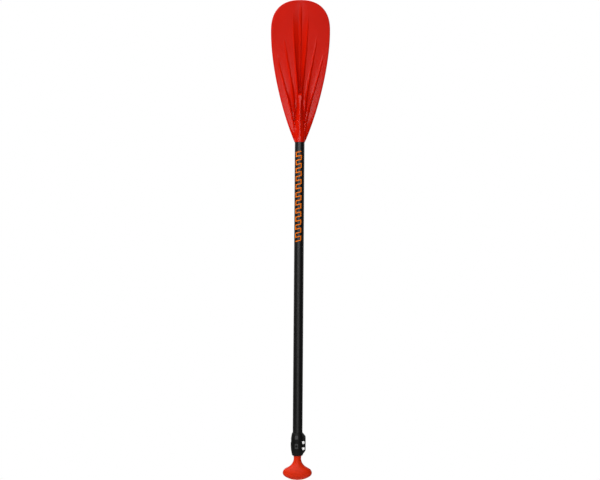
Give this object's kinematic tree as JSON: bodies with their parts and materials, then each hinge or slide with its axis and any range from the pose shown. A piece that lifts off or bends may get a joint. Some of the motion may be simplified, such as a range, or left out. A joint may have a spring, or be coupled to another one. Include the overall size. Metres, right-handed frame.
{
  "type": "adjustable stand-up paddle",
  "caption": "Adjustable stand-up paddle with a ribbed blade, a black tube, a lever clamp and a palm grip, at its shortest length.",
  "frame": {"origin": "on the shaft's axis, at the middle of the bare shaft between clamp and blade", "axes": "+Z along the shaft towards the blade, +X towards the clamp's split ear, and the blade leans towards -Y, the side of the clamp's screw heads"},
  "size_m": [0.1804, 0.0871, 1.4663],
  "materials": {
    "blade_red": "satin",
    "grip_orange": "satin",
    "shaft_black": "satin",
    "print_orange": "satin",
    "clamp_black": "satin",
    "lever_black": "satin",
    "steel": "polished",
    "acetal": "satin",
    "tube_bare": "satin",
    "print_black": "satin",
    "rubber": "matte",
    "foam": "matte"
  },
  "bodies": {
    "paddle": {"blade": "blade_red", "shaft_tube": "shaft_black", "shaft_foam_plug": "foam", "shaft_decal": "print_orange", "clamp_collar": "clamp_black", "collar_rivet": "steel", "anti_twist_key": "acetal", "wiper_ring": "rubber", "clamp_screws": "steel", "screw_washers": "steel", "thrust_plate": "steel", "barrel_pin": "steel"},
    "lever": {"cam_lever": "lever_black"},
    "handle": {"handle_tube": "tube_bare", "length_scale": "print_black", "end_bushing": "acetal", "bushing_ring": "rubber", "handle_foam_plug": "foam", "palm_grip": "grip_orange"}
  },
  "joints": [
    {"name": "handle_slide", "type": "slide", "parent": "paddle", "child": "handle", "axis": [0, 0, -1], "range_m": [0, 0.4]},
    {"name": "lever_pivot", "type": "hinge", "parent": "paddle", "child": "lever", "pos_m": [0.018, 0.0168, -0.4837], "axis": [0, 0, -1], "range_deg": [0, 130]}
  ]
}
